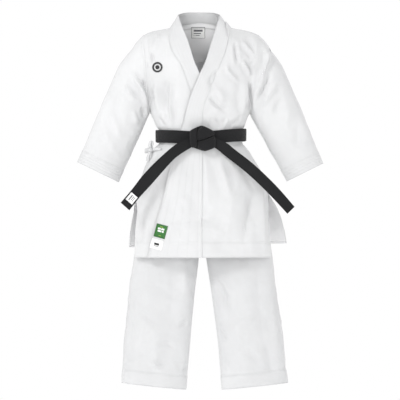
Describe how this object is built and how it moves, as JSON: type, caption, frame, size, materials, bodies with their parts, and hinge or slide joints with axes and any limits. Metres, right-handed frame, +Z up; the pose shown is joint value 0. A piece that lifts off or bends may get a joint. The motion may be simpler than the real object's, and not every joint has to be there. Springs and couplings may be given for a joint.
{
  "type": "martial arts uniform",
  "caption": "Wrap-over canvas jacket with quilted collar band, wide cropped sleeves and side slits, closed by a knotted belt, over straight wide trousers.",
  "frame": {"origin": "on top of the shoulders, in the middle of the neck opening, where a wearer or a hanger holds the jacket up", "axes": "+Z up; the wearer faces -Y; +X is the wearer's left side"},
  "size_m": [0.907, 0.2988, 1.3962],
  "materials": {
    "canvas": "heavy plain-weave cotton canvas, bleached white",
    "collar_canvas": "folded canvas band with close parallel stitching",
    "belt_cotton": "black cotton belt with long rows of stitching",
    "label_satin": "white woven label",
    "emblem_thread": "black embroidery thread",
    "patch_twill": "green twill patch with a stitched border",
    "cord_cotton": "flat braided cotton drawstring"
  },
  "bodies": {
    "jacket": {"left_front_panel": "canvas", "right_front_panel": "canvas", "left_back_panel": "canvas", "right_back_panel": "canvas", "left_lapel": "collar_canvas", "right_lapel": "collar_canvas", "back_collar": "collar_canvas", "back_yoke_lining": "canvas", "neck_label": "label_satin", "chest_emblem": "emblem_thread", "belt_inner_turn": "belt_cotton", "belt_outer_turn": "belt_cotton", "belt_knot": "belt_cotton", "belt_knot_wrap": "belt_cotton", "side_tie_knot": "canvas", "side_tie_loop_upper": "canvas", "side_tie_loop_lower": "canvas", "side_tie_end_front": "canvas", "inner_tie_strap": "canvas", "inner_tie_knot": "canvas"},
    "front_flap": {"left_front_skirt": "canvas", "left_front_hem": "canvas", "left_skirt_band": "collar_canvas", "right_front_skirt": "canvas", "right_front_hem": "canvas", "right_skirt_band": "collar_canvas", "hem_patch": "patch_twill", "hem_label": "label_satin"},
    "back_flap": {"back_skirt": "canvas", "back_hem": "canvas"},
    "left_arm": {"left_sleeve": "canvas", "left_cuff": "canvas"},
    "right_arm": {"right_sleeve": "canvas", "right_cuff": "canvas"},
    "left_tail": {"left_belt_tail": "belt_cotton"},
    "right_tail": {"right_belt_tail": "belt_cotton", "belt_label": "label_satin"},
    "trousers": {"trouser_waistband": "canvas", "drawstring": "cord_cotton", "left_front_seat": "canvas", "right_front_seat": "canvas", "left_back_seat": "canvas", "right_back_seat": "canvas", "crotch_gusset": "canvas"},
    "left_leg_tube": {"left_leg": "canvas", "left_leg_hem": "canvas"},
    "right_leg_tube": {"right_leg": "canvas", "right_leg_hem": "canvas"}
  },
  "joints": [
    {"name": "left_sleeve_raise", "type": "hinge", "parent": "jacket", "child": "left_arm", "pos_m": [0.191, 0, -0.11], "axis": [0, -1, 0], "range_deg": [0, 65]},
    {"name": "right_sleeve_raise", "type": "hinge", "parent": "jacket", "child": "right_arm", "pos_m": [-0.191, 0, -0.11], "axis": [0, 1, 0], "range_deg": [0, 65]},
    {"name": "front_flap_lift", "type": "hinge", "parent": "jacket", "child": "front_flap", "pos_m": [0, -0.129, -0.6], "axis": [-1, 0, 0], "range_deg": [0, 20]},
    {"name": "back_flap_lift", "type": "hinge", "parent": "jacket", "child": "back_flap", "pos_m": [0, 0.13, -0.6], "axis": [1, 0, 0], "range_deg": [0, 45]},
    {"name": "left_tail_lift", "type": "hinge", "parent": "jacket", "child": "left_tail", "pos_m": [0.064, -0.118, -0.436], "axis": [-0.6947, 0, -0.7193], "range_deg": [0, 60]},
    {"name": "right_tail_lift", "type": "hinge", "parent": "jacket", "child": "right_tail", "pos_m": [-0.064, -0.118, -0.436], "axis": [-0.6947, 0, 0.7193], "range_deg": [0, 60]},
    {"name": "trousers_slide_down", "type": "slide", "parent": "jacket", "child": "trousers", "axis": [0, 0, -1], "range_m": [0, 0.48]},
    {"name": "left_leg_spread", "type": "hinge", "parent": "trousers", "child": "left_leg_tube", "pos_m": [0.122, 0, -0.588], "axis": [0, -1, 0], "range_deg": [0, 12]},
    {"name": "right_leg_spread", "type": "hinge", "parent": "trousers", "child": "right_leg_tube", "pos_m": [-0.122, 0, -0.588], "axis": [0, 1, 0], "range_deg": [0, 12]}
  ]
}
